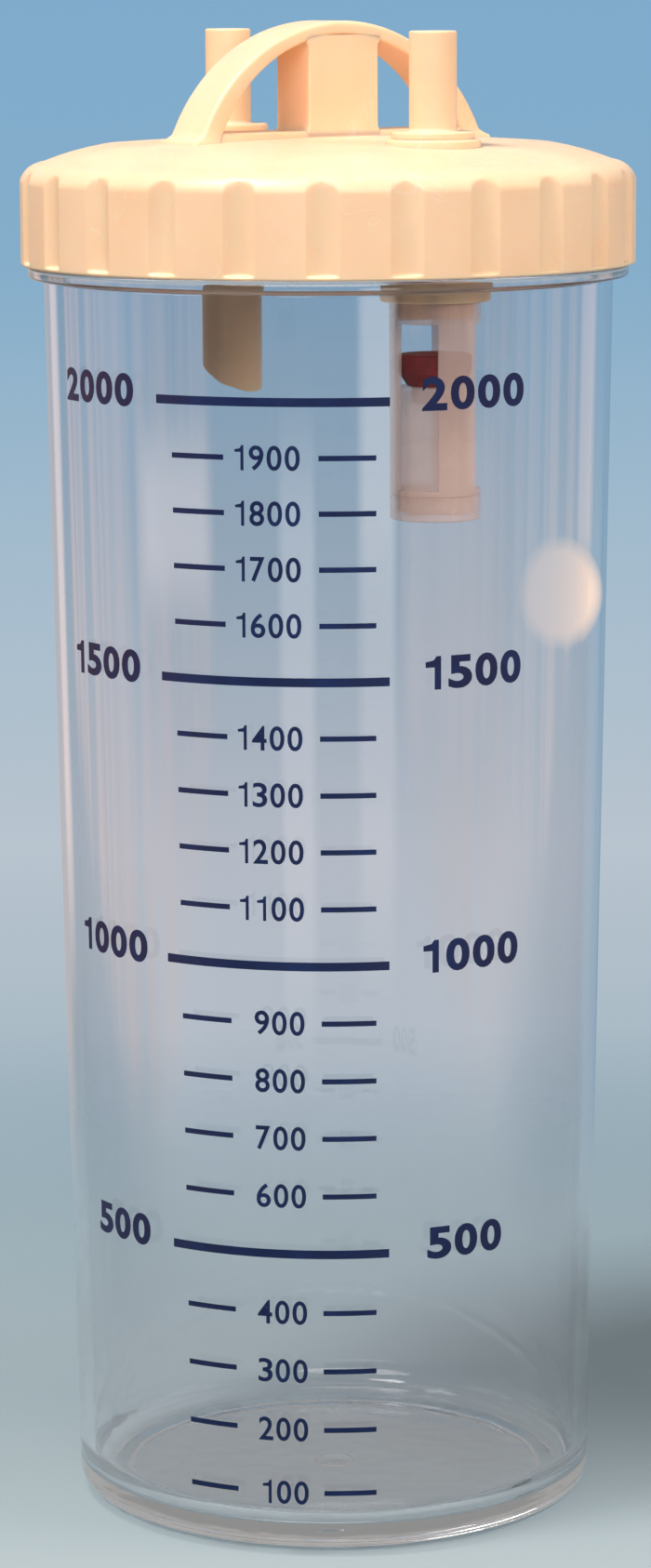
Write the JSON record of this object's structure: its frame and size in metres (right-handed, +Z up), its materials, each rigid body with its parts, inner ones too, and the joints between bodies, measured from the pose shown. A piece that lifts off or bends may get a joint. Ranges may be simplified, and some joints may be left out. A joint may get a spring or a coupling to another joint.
{
  "type": "suction canister",
  "caption": "Reusable suction canister: clear tapered jar with a printed volume scale, fluted screw lid with an arched handle, hose ports and an overflow float valve.",
  "frame": {"origin": "centre of the jar's foot, on the surface that it stands on", "axes": "+Z up along the jar's axis, -Y towards the front of the printed scale, +X to its right"},
  "size_m": [0.1248, 0.1248, 0.3051],
  "materials": {
    "jar_clear": "clear, polished",
    "lid_plastic": "satin, peach",
    "gasket_rubber": "soft, pale",
    "cage_clear": "frosted, pale peach",
    "float_clear": "frosted, clear",
    "seal_rubber": "soft, dark red"
  },
  "bodies": {
    "jar": {"jar": "jar_clear"},
    "gasket": {"lid_gasket": "gasket_rubber"},
    "lid_assembly": {"lid": "lid_plastic", "lid_handle": "lid_plastic", "inlet_port": "lid_plastic", "vacuum_port": "lid_plastic", "inlet_port_seal": "gasket_rubber", "vacuum_port_seal": "gasket_rubber", "inlet_deflector": "lid_plastic", "valve_collar": "lid_plastic", "float_cage": "cage_clear", "cage_end_ring": "cage_clear"},
    "float": {"float_body": "float_clear", "float_seal": "seal_rubber"}
  },
  "joints": [
    {"name": "lid_lift", "type": "slide", "parent": "jar", "child": "gasket", "axis": [0, 0, 1], "range_m": [0, 0.085]},
    {"name": "lid_turn", "type": "hinge", "parent": "gasket", "child": "lid_assembly", "pos_m": [0, 0, 0.272], "axis": [0, 0, 1], "range_deg": [0, 450]},
    {"name": "float_rise", "type": "slide", "parent": "lid_assembly", "child": "float", "axis": [0, 0, 1], "range_m": [0, 0.0068]}
  ]
}
